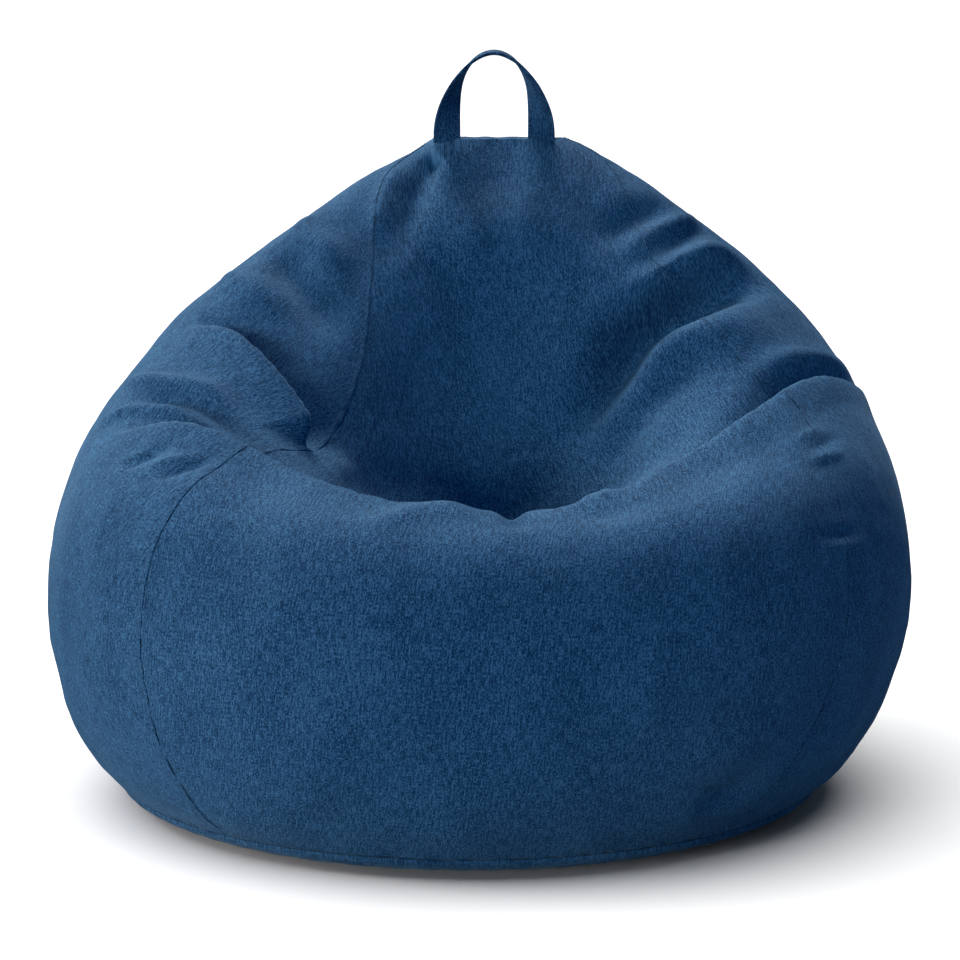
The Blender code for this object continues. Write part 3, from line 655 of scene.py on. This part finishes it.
def top_piece(name, node, insets, station, thickness, finish, slot, gap, sunk):
    """The small panel that closes the top edge, a little hollow between its seams."""
    _, edge = ring(station, insets, 240)
    edge = drawn_in(edge, gap)
    middle = edge.mean(axis=0)
    rings = []
    for share in np.linspace(0.04, 1, 24):
        row = middle + (edge - middle) * share
        row[:, 2] -= sunk * (bell(share, 1, 0.12) + 0.4 * (1 - share**2))
        rings.append(row)
    rings = np.array(rings)
    piece = round_piece(name, rings, thickness, finish, hollow_up=False)
    stand_for(piece, node)


def beads():
    """The filling: one closed body whose surface is the loose beads."""
    around = 480
    _, foot = ring(0, BEADS_INSET, around)
    rings = list(dish(foot, FLOOR_BEADS, 20, 8)[:-1])
    for station in np.arange(0, BEADS_TOP_STATION + 0.03, 0.08):
        rings.append(ring(min(station, BEADS_TOP_STATION), BEADS_INSET, around)[1])
    rings = np.array(rings)
    count = len(rings)
    faces = quads(count, around, wrapped=True) + end_faces(0, count, around)
    piece = add_piece("loose_beads", rings, faces, bead_foam())
    stand_for(piece, "bead_filling")


# ---- thread


def stitches(name, lines, size, finish):
    """Short rounded stitches along lines, each a list of points with the direction out of the cloth."""
    pitch, length, radius = size
    sides, levels = 6, (0, 0.12, 0.5, 0.88, 1)
    swell = (0.15, 0.8, 1, 0.8, 0.15)
    points, faces = [], []
    turn = np.arange(sides) * 2 * math.pi / sides
    for path, out in lines:
        along = np.concatenate([[0], np.cumsum(np.linalg.norm(np.diff(path, axis=0), axis=1))])
        for start in np.arange(pitch / 2, along[-1] - pitch, pitch):
            at = start + np.array(levels) * length
            middle = np.stack([np.interp(at, along, path[:, axis]) for axis in range(3)], axis=-1)
            up = np.array([np.interp(start, along, out[:, axis]) for axis in range(3)])
            forward = middle[-1] - middle[0]
            side = np.cross(forward, up)
            side /= np.linalg.norm(side)
            first = len(points) * sides
            for centre, share in zip(middle, swell):
                lift = up * radius * (share - 0.55)
                circle = side * np.cos(turn)[:, None] + up * np.sin(turn)[:, None]
                points.append(centre + lift + circle * radius * share)
            faces += quads(len(levels), sides, first, wrapped=True)
            faces += end_faces(first, len(levels), sides)
    piece = add_piece(name, np.array(points), faces, finish)
    return piece


def seam_stitches(nets):
    """The stitched lines that run beside the upright seams and above the zip."""
    for side in ("left", "right"):
        net = nets[side + "_side_panel"]
        lines = []
        for column in (STITCH_COLUMN, -STITCH_COLUMN - 1):
            lines.append((net["points"][:, column], net["out"][:, column]))
        sewing = stitches("seam_stitches_" + side, lines, SEAM_STITCH, thread(*SEAM_THREAD))
        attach(sewing, "bag")
    net = nets["back_panel"]
    row = int(np.argmin(np.abs(net["up"][:, 40] - STITCH_OFFSET)))
    line = (net["points"][row, 2:-2], net["out"][row, 2:-2])
    sewing = stitches("zip_stitches", [line], SEAM_STITCH, thread(*SEAM_THREAD))
    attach(sewing, "bag")


# ---- strap


def strap_frames(count):
    """The strap from its left root to its right root: its centres, and the ways across it and out of it."""
    shares = np.linspace(0, 1, count)
    turn = math.pi * shares
    rise = np.sin(turn)
    arch = (-STRAP_SPAN / 2 * np.cos(turn), np.zeros(count), STRAP_RISE * rise)
    centre = np.stack(arch, axis=-1) + STRAP_FOOT
    twist = math.pi / 2 * (1 - (1 - rise) ** STRAP_TWIST)
    twist = np.where(shares > 0.5, math.pi - twist, twist)
    across = np.stack([np.cos(twist), np.sin(twist), STRAP_TILT * rise], axis=-1)
    roots = np.array([[0, 0, -depth] for depth in STRAP_ROOT_DEPTHS])
    centre = np.concatenate([centre[0] + roots, centre, centre[-1] + roots[::-1]])
    ends = np.ones((len(STRAP_ROOT_DEPTHS), 1))
    across = np.concatenate([ends * across[0], across, ends * across[-1]])
    forward = np.gradient(centre, axis=0)
    forward /= np.linalg.norm(forward, axis=1, keepdims=True)
    across -= forward * (across * forward).sum(1, keepdims=True)
    across /= np.linalg.norm(across, axis=1, keepdims=True)
    return centre, across, np.cross(forward, across)


def strap_section():
    """The folded strap's outline, as (across, out) shares of half its width and half its thickness.

    Two stitched lines press grooves into each face, and the long edges are round folds.
    """
    face = np.linspace(-0.90, 0.90, 41)
    groove = 1 - 0.42 * (bell(np.abs(face), STRAP_STITCH_LINE, 0.05) + bell(np.abs(face), 0.40, 0.04))
    swell = 0.82 + 0.18 * bell(np.abs(face), 0.84, 0.10)
    front = np.stack([face, groove * swell], axis=-1)
    turn = np.linspace(math.pi / 2, -math.pi / 2, 9)[1:-1]
    end = np.stack([0.90 + 0.10 * np.cos(turn), 0.95 * np.sin(turn)], axis=-1)
    return np.concatenate([front, end, front[::-1] * (1, -1), end[::-1] * (-1, 1)])


def strap():
    """The strap and its thread, as one band."""
    centre, across, out = strap_frames(120)
    section = strap_section()
    half_width, half_thickness = STRAP_WIDTH / 2, STRAP_THICKNESS / 2
    wave = 0.0003 * smooth_random(centre[:, None] + np.zeros((1, 1, 3)), 0.02, 5)
    points = (
        centre[:, None]
        + across[:, None] * (section[:, 0] * half_width)[None, :, None]
        + out[:, None] * (section[:, 1] * half_thickness + wave)[..., None]
    )
    rows, around = points.shape[:2]
    length = run_along(points, 0)
    sideways = np.broadcast_to(section[:, 0] * half_width, length.shape)
    flat = np.stack([sideways, length, length * 0], axis=-1)
    faces = quads(rows, around, wrapped=True) + end_faces(0, rows, around)
    piece = add_piece("strap_webbing", points, faces, cloth("strap"), flat)
    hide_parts("carry_handle")
    lines = []
    for share in (-STRAP_STITCH_LINE, STRAP_STITCH_LINE):
        for face in (1, -1):
            path = centre + across * half_width * share + out * (half_thickness * 0.60 * face)
            lines.append((path[2:-2], out[2:-2] * face))
    sewing = stitches("strap_stitches", lines, STRAP_STITCH, thread(*STRAP_THREAD))
    for made in (piece, sewing):
        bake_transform(made)


# ---- zips


def zip_point(azimuth, radius, height):
    """Points at a radius round the axis that both zips follow."""
    turn = np.radians(azimuth)
    x = MIDDLE_X[0] + radius * np.sin(turn)
    y = MIDDLE_Y[0] - radius * np.cos(turn)
    return np.stack(np.broadcast_arrays(x, y, height), axis=-1)


def zip_tape_piece(name, node, radius, low, high):
    """A woven tape round the zip's axis, with a thicker bead along each edge."""
    azimuth = np.arange(TAPE_ENDS[0], TAPE_ENDS[1] + 0.01, 0.5)
    level = np.linspace(0, 1, 13)
    height = low + (high - low) * level
    bead = 0.00035 + 0.0002 * bell(level, 0.06, 0.06) + 0.0002 * bell(level, 0.94, 0.06)
    outer = zip_point(azimuth[:, None], radius + bead[None], height[None]).transpose(1, 0, 2)
    inner = zip_point(azimuth[:, None], radius - bead[None], height[None]).transpose(1, 0, 2)
    run = np.radians(azimuth - azimuth[0]) * radius
    flat = np.stack(np.broadcast_arrays((height - low)[:, None], run[None], 0.0), axis=-1)
    piece = sheet_piece(name, outer, inner, flat, cloth("zip tape"))
    stand_for(piece, node)


def tooth_net(radius, azimuth, low, high):
    """One loop of a zip's coil: a rounded bar across the row, leaning along it."""
    sides, levels = 8, 5
    turn = np.arange(sides) * 2 * math.pi / sides
    rows = []
    for level in np.linspace(0, 1, levels):
        swell = math.sin(math.pi * (0.12 + 0.76 * level)) ** 0.5
        width = math.degrees(TEETH_PITCH * 0.40 * swell / radius)
        lean = math.degrees(TEETH_LEAN * (level - 0.5) / radius)
        reach = radius + 0.0012 * swell * np.sin(turn)
        rows.append(zip_point(azimuth + lean + width * np.cos(turn), reach, low + (high - low) * level))
    return np.array(rows)


def teeth_piece(name, node, radius, low, high, offset):
    """One row of a zip's coil; offset is where its first loop is, in pitches."""
    start, end = 180 - ZIP_HALF_ANGLE, 180 + ZIP_HALF_ANGLE
    pitch = math.degrees(TEETH_PITCH / radius)
    points, faces = [], []
    for azimuth in np.arange(start + pitch * offset, end - pitch / 2, pitch):
        net = tooth_net(radius, azimuth, low, high)
        levels, sides = net.shape[:2]
        first = len(points) * levels * sides
        points.append(net)
        faces += quads(levels, sides, first, wrapped=True) + end_faces(first, levels, sides)
    piece = add_piece(name, np.array(points), faces, zip_coil())
    stand_for(piece, node)


def zip_fastener(prefix, label, radius, heights):
    """Tapes and coils of one zip. Its stops and its slider stay as the CAD has them, with rounded edges."""
    lower, upper = heights
    tapes = (("upper", ZIP_HEIGHT + TAPE_GAP, upper), ("lower", lower, ZIP_HEIGHT - TAPE_GAP))
    for row, low, high in tapes:
        zip_tape_piece(f"{label}_{row}_tape", f"{prefix}_{row}_tape", radius, low, high)
    near = TEETH_GAP + TEETH_WIDTH
    coils = (
        ("upper", ZIP_HEIGHT - TEETH_OVERLAP, ZIP_HEIGHT + near, 0.5),
        ("lower", ZIP_HEIGHT - near, ZIP_HEIGHT + TEETH_OVERLAP, 1),
    )
    for row, low, high, offset in coils:
        teeth_piece(f"{label}_{row}_coil", f"{prefix}_{row}_teeth", radius, low, high, offset)
    for ending in ("_closed_stop", "_open_stop"):
        round_off(prefix + ending, 0.0003)
    round_off(prefix + "_slider", 0.0004)


def round_off(node, width):
    """Softens the edges of a metal node that keeps its CAD shape."""
    piece = frame["nodes"][node]
    bevel_edges = piece.modifiers.new("Rounded edges", "BEVEL")
    bevel_edges.width = width
    bevel_edges.segments = 3
    bevel_edges.limit_method = "ANGLE"
    bevel_edges.angle_limit = math.radians(35)
    piece.data.materials.clear()
    piece.data.materials.append(zip_metal())


# ---- care label


def label_piece():
    """A blank folded tape, sewn into the left rear seam and lying along the side panel."""
    low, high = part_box("care_label")
    middle = (np.array(low) + np.array(high)) / 2
    seam_azimuth = float(through([LABEL_STATION], STATIONS, LEFT_REAR_SEAM)[0])
    rows, columns = 19, 31
    across = np.linspace(-LABEL_WIDTH / 2, LABEL_WIDTH / 2, rows)
    degrees = math.degrees(LABEL_LENGTH / LABEL_REACH)
    azimuth = seam_azimuth + 0.15 + np.linspace(0, degrees, columns)
    around, level = np.meshgrid(azimuth, LABEL_STATION + across / LABEL_STATION_HEIGHT)
    _, out, folded = skin(around, level)
    share = np.linspace(0, 1, columns)[None]
    lift = 0.0008 + 0.0032 * share**2 + 0.0012 * np.sin(share * 5) * share
    outer = folded + out * (lift + 0.0005)[..., None]
    inner = folded + out * lift[..., None]
    flat = np.stack(np.broadcast_arrays(across[:, None], share * LABEL_LENGTH, 0.0), axis=-1)
    piece = sheet_piece("blank_care_label", outer, inner, flat, cloth("label"))
    assert np.linalg.norm(outer.reshape(-1, 3).mean(0) - middle) < 0.03, "the label left its place"
    stand_for(piece, "care_label")


# ---- materials


class Finish:
    """A new material, and short ways to add nodes to it."""

    def __init__(self, name):
        self.material = bpy.data.materials.new(name)
        self.material.use_nodes = True
        self.nodes, self.links = self.material.node_tree.nodes, self.material.node_tree.links
        self.shader = self.nodes["Principled BSDF"]

    def set(self, **values):
        """Numbers or colours on the shader's own sockets, with _ for each space in a name."""
        for name, value in values.items():
            self.shader.inputs[name.replace("_", " ")].default_value = value

    def cloth_place(self):
        place = self.nodes.new("ShaderNodeAttribute")
        place.attribute_name = "cloth"
        return place.outputs["Vector"]

    def solid_place(self):
        return self.nodes.new("ShaderNodeTexCoord").outputs["Object"]

    def noise(self, place, scale, detail=2.0, roughness=0.55):
        """A noise texture over coordinates that are first multiplied by scale, in repeats per metre."""
        mapping = self.nodes.new("ShaderNodeMapping")
        mapping.inputs["Scale"].default_value = scale
        self.links.new(place, mapping.inputs["Vector"])
        texture = self.nodes.new("ShaderNodeTexNoise")
        texture.inputs["Scale"].default_value = 1.0
        texture.inputs["Detail"].default_value = detail
        texture.inputs["Roughness"].default_value = roughness
        self.links.new(mapping.outputs["Vector"], texture.inputs["Vector"])
        return texture.outputs["Fac"]

    def cells(self, place, scale):
        """How far each place is from the nearest of many scattered points."""
        texture = self.nodes.new("ShaderNodeTexVoronoi")
        texture.inputs["Scale"].default_value = scale
        self.links.new(place, texture.inputs["Vector"])
        return texture.outputs["Distance"]

    def math(self, operation, first, second):
        """A Math node over two sockets or numbers."""
        node = self.nodes.new("ShaderNodeMath")
        node.operation = operation
        for socket, value in zip(node.inputs, (first, second)):
            if isinstance(value, (int, float)):
                socket.default_value = value
            else:
                self.links.new(value, socket)
        return node.outputs[0]

    def scaled(self, socket, factor, start):
        """A socket times a factor, plus a start."""
        return self.math("ADD", self.math("MULTIPLY", socket, factor), start)

    def weighted(self, *parts):
        """The sum of sockets, each times its weight."""
        total = 0.0
        for socket, weight in parts:
            total = self.math("ADD", total, self.math("MULTIPLY", socket, weight))
        return total

    def colour(self, factor, stops):
        """The surface's colour by a factor; each stop is (position, colour)."""
        ramp = self.nodes.new("ShaderNodeValToRGB")
        while len(ramp.color_ramp.elements) < len(stops):
            ramp.color_ramp.elements.new(0.5)
        for element, (position, colour) in zip(ramp.color_ramp.elements, stops):
            element.position = position
            element.color = (*colour, 1)
        self.links.new(factor, ramp.inputs["Fac"])
        self.links.new(ramp.outputs["Color"], self.shader.inputs["Base Color"])

    def bump(self, height, strength, distance):
        bump = self.nodes.new("ShaderNodeBump")
        bump.inputs["Strength"].default_value = strength
        bump.inputs["Distance"].default_value = distance
        self.links.new(height, bump.inputs["Height"])
        self.links.new(bump.outputs["Normal"], self.shader.inputs["Normal"])


def woven(name, stops, sheen, sheen_tint):
    """A soft heathered cloth: light and dark flecks drawn out along the warp, over a fine weave."""
    finish = Finish(name)
    place = finish.cloth_place()
    flecks = finish.noise(place, (700, 360, 1), 3.0, 0.6)
    streaks = finish.noise(place, (460, 70, 1))
    yarns = finish.math(
        "MAXIMUM", finish.noise(place, (1300, 90, 1)), finish.noise(place, (110, 1200, 1))
    )
    patches = finish.noise(place, (16, 7, 1))
    weave = finish.weighted((flecks, 0.52), (streaks, 0.26), (yarns, 0.22))
    finish.colour(finish.weighted((weave, 0.92), (patches, 0.08)), stops)
    finish.set(Roughness=0.9, Specular_IOR_Level=0.1)
    finish.set(Sheen_Weight=sheen, Sheen_Roughness=0.5, Sheen_Tint=(*sheen_tint, 1))
    finish.bump(weave, 0.6, 0.0009)
    return finish.material


# Name, stops of the colour ramp, sheen and its tint
WOVEN = {
    "cover": (
        "Cover cloth",
        ((0.45, (0.003, 0.026, 0.078)), (0.51, (0.016, 0.076, 0.168)), (0.57, (0.052, 0.154, 0.288))),
        0.12, (0.45, 0.75, 1.0),
    ),
    "strap": (
        "Strap cloth",
        ((0.45, (0.002, 0.020, 0.062)), (0.51, (0.011, 0.057, 0.132)), (0.57, (0.034, 0.112, 0.228))),
        0.12, (0.45, 0.75, 1.0),
    ),
    "label": (
        "Label tape",
        ((0.30, (0.60, 0.60, 0.58)), (0.70, (0.82, 0.82, 0.80))),
        0.10, (1.0, 1.0, 1.0),
    ),
    "zip tape": (
        "Zip tape",
        ((0.36, (0.004, 0.014, 0.036)), (0.50, (0.008, 0.024, 0.060)), (0.66, (0.014, 0.036, 0.084))),
        0.12, (0.55, 0.75, 1.0),
    ),
}


@cache
def cloth(kind):
    """One of the woven cloths, made the first time it is asked for."""
    return woven(*WOVEN[kind])


@cache
def liner_cloth():
    """A white non-woven cloth with small pressed dots."""
    finish = Finish("Liner cloth")
    place = finish.cloth_place()
    fibres = finish.noise(place, (900, 900, 1), 4.0, 0.7)
    height = finish.scaled(fibres, 0.4, finish.cells(place, 420))
    finish.colour(height, ((0.25, (0.62, 0.62, 0.60)), (0.8, (0.82, 0.82, 0.80))))
    finish.set(Roughness=0.8)
    finish.bump(height, 0.4, 0.0006)
    return finish.material


@cache
def bead_foam():
    """Packed white foam beads, with painted shade: darker in the gaps between them. The same dome shape
    gives their bump.
    """
    finish = Finish("Foam beads")
    distance = finish.cells(finish.solid_place(), 260)
    dome_height_and_gap_shade = finish.math("SUBTRACT", 1.0, finish.math("POWER", distance, 2.0))
    # Painted shade: the colour goes from white on each bead's top to grey in the gaps where beads meet
    finish.colour(dome_height_and_gap_shade, ((0.55, (0.55, 0.55, 0.54)), (0.9, (0.88, 0.88, 0.87))))
    finish.set(Roughness=0.6)
    finish.bump(dome_height_and_gap_shade, 0.9, 0.002)
    return finish.material


@cache
def thread(name, dark, light):
    """Twisted sewing thread."""
    finish = Finish(name)
    twist = finish.noise(finish.solid_place(), (2600, 2600, 2600), 1.0)
    finish.colour(twist, ((0.3, dark), (0.7, light)))
    finish.set(Roughness=0.6, Specular_IOR_Level=0.3)
    finish.bump(twist, 0.4, 0.0002)
    return finish.material


@cache
def zip_coil():
    """Dark nylon, a little scuffed."""
    finish = Finish("Zip coil")
    scuffs = finish.noise(finish.solid_place(), (900, 900, 900))
    finish.colour(scuffs, ((0.35, (0.006, 0.018, 0.045)), (0.7, (0.014, 0.036, 0.080))))
    finish.links.new(finish.scaled(scuffs, 0.25, 0.25), finish.shader.inputs["Roughness"])
    return finish.material


@cache
def zip_metal():
    """Die-cast metal with fine scratches."""
    finish = Finish("Zip metal")
    scratches = finish.noise(finish.solid_place(), (260, 2400, 2400), 3.0, 0.7)
    finish.colour(scratches, ((0.35, (0.40, 0.40, 0.42)), (0.7, (0.62, 0.62, 0.64))))
    finish.links.new(finish.scaled(scratches, 0.3, 0.18), finish.shader.inputs["Roughness"])
    finish.set(Metallic=1.0)
    finish.bump(scratches, 0.15, 0.0002)
    return finish.material


# ---- stage


def for_camera(nodes, links, seen, lit, surface_input):
    """Shows the camera one shader, and gives all other light the other one."""
    rays = nodes.new("ShaderNodeLightPath")
    either = nodes.new("ShaderNodeMixShader")
    links.new(rays.outputs["Is Camera Ray"], either.inputs["Fac"])
    links.new(lit, either.inputs[1])
    links.new(seen, either.inputs[2])
    links.new(either.outputs["Shader"], surface_input)


def floor():
    """A white floor that fills the view. It sends little light back up, as in a cut-out studio picture."""
    size = 60
    points = [(-size, -size, 0), (size, -size, 0), (size, size, 0), (-size, size, 0)]
    finish = Finish("Studio floor")
    paper = finish.noise(finish.solid_place(), (3, 3, 3))
    finish.colour(paper, ((0.3, (0.94, 0.94, 0.94)), (0.7, (0.96, 0.96, 0.96))))
    finish.set(Roughness=1.0, Specular_IOR_Level=0.0)
    dull = finish.nodes.new("ShaderNodeBsdfDiffuse")
    dull.inputs["Color"].default_value = (0.14, 0.18, 0.22, 1)
    end = finish.nodes["Material Output"].inputs["Surface"]
    for_camera(finish.nodes, finish.links, finish.shader.outputs["BSDF"], dull.outputs["BSDF"], end)
    plane = add_piece("floor", points, [[0, 1, 2, 3]], finish.material)
    plane.location.z = -0.0004


def direction(azimuth, elevation):
    """The way to something at an azimuth round the bag and a height above the floor, both in degrees."""
    turn, rise = math.radians(azimuth), math.radians(elevation)
    return Vector((math.sin(turn) * math.cos(rise), -math.cos(turn) * math.cos(rise), math.sin(rise)))


def sun(name, azimuth, elevation, spread, strength, colour):
    """A soft light from far away; spread is how wide it looks from the bag, in degrees."""
    light = bpy.data.lights.new(name, "SUN")
    light.energy = strength
    light.color = colour
    light.angle = math.radians(spread)
    made = bpy.data.objects.new(name, light)
    made.location = 5 * direction(azimuth, elevation)
    made.rotation_euler = made.location.to_track_quat("Z", "Y").to_euler()
    bpy.context.scene.collection.objects.link(made)
    return made


def studio():
    """Two low lights, one from above and a weak blue one on the bag alone, and one on the floor alone."""
    sun("left", -98, 7, 24, 2.6, (1.0, 0.88, 0.81))
    sun("front", -44, 5, 22, 1.75, (0.96, 0.97, 1.0))
    bag = bpy.data.collections.new("bag pieces")
    ground = bpy.data.collections.new("ground")
    for made in bpy.context.scene.objects:
        if made.type == "MESH":
            (ground if made.name == "floor" else bag).objects.link(made)
    sun("top", -170, 57, 22, 3.7, (1.0, 0.96, 0.93)).light_linking.receiver_collection = bag
    sun("fill", 40, 15, 120, 0.75, (0.0, 0.42, 1.0)).light_linking.receiver_collection = bag
    sun("ground light", -66, 76, 84, 4.4, (1.0, 1.0, 1.0)).light_linking.receiver_collection = ground
    world = bpy.data.worlds.new("Studio")
    bpy.context.scene.world = world
    world.use_nodes = True
    nodes, links = world.node_tree.nodes, world.node_tree.links
    light = nodes["Background"]
    light.inputs["Color"].default_value = (0.75, 0.90, 1.0, 1)
    light.inputs["Strength"].default_value = 0.06
    backdrop = nodes.new("ShaderNodeBackground")
    backdrop.inputs["Color"].default_value = (1, 1, 1, 1)
    backdrop.inputs["Strength"].default_value = 1.1
    end = nodes["World Output"].inputs["Surface"]
    for_camera(nodes, links, backdrop.outputs["Background"], light.outputs["Background"], end)
    bpy.context.scene.view_settings.view_transform = "Standard"


def camera():
    """Level with the middle of the bag and a little above, with a long lens."""
    elevation, distance = 9, 3.4
    target = Vector((0.0018, 0, 0.366))
    data = bpy.data.cameras.new("camera")
    data.lens = 108.8
    made = bpy.data.objects.new("camera", data)
    made.location = target + distance * direction(0, elevation)
    made.rotation_euler = (made.location - target).to_track_quat("Z", "Y").to_euler()
    bpy.context.scene.collection.objects.link(made)
    bpy.context.scene.camera = made


def main():
    camera()
    nets = cover_panels()
    outside = (0, 0)
    made_of = (COVER_CLOTH, cloth("cover"), "cover_cloth")
    base_piece("cover_base_panel", "base_panel", outside, FLOOR_COVER, *made_of, zip_reach=0.0035)
    top_piece("cover_top_panel", "top_panel", outside, TOP_STATION, *made_of, gap=0.0005, sunk=0.003)
    seam_stitches(nets)
    strap()
    label_piece()
    zip_fastener("cover_zip", "outer_zip", COVER_ZIP_RADIUS, COVER_TAPE_HEIGHTS)
    round_off("cover_zip_pull", 0.0003)
    liner_panels()
    made_of = (LINER_CLOTH, liner_cloth(), "liner_cloth")
    base_piece("inner_base_panel", "liner_base_panel", LINER_INSET, FLOOR_LINER, *made_of, zip_reach=0.0)
    top_at = (LINER_INSET, LINER_TOP_STATION)
    top_piece("inner_top_panel", "liner_top_panel", *top_at, *made_of, gap=0.001, sunk=0.0)
    zip_fastener("liner_zip", "inner_zip", LINER_ZIP_RADIUS, LINER_TAPE_HEIGHTS)
    beads()
    floor()
    studio()


main()
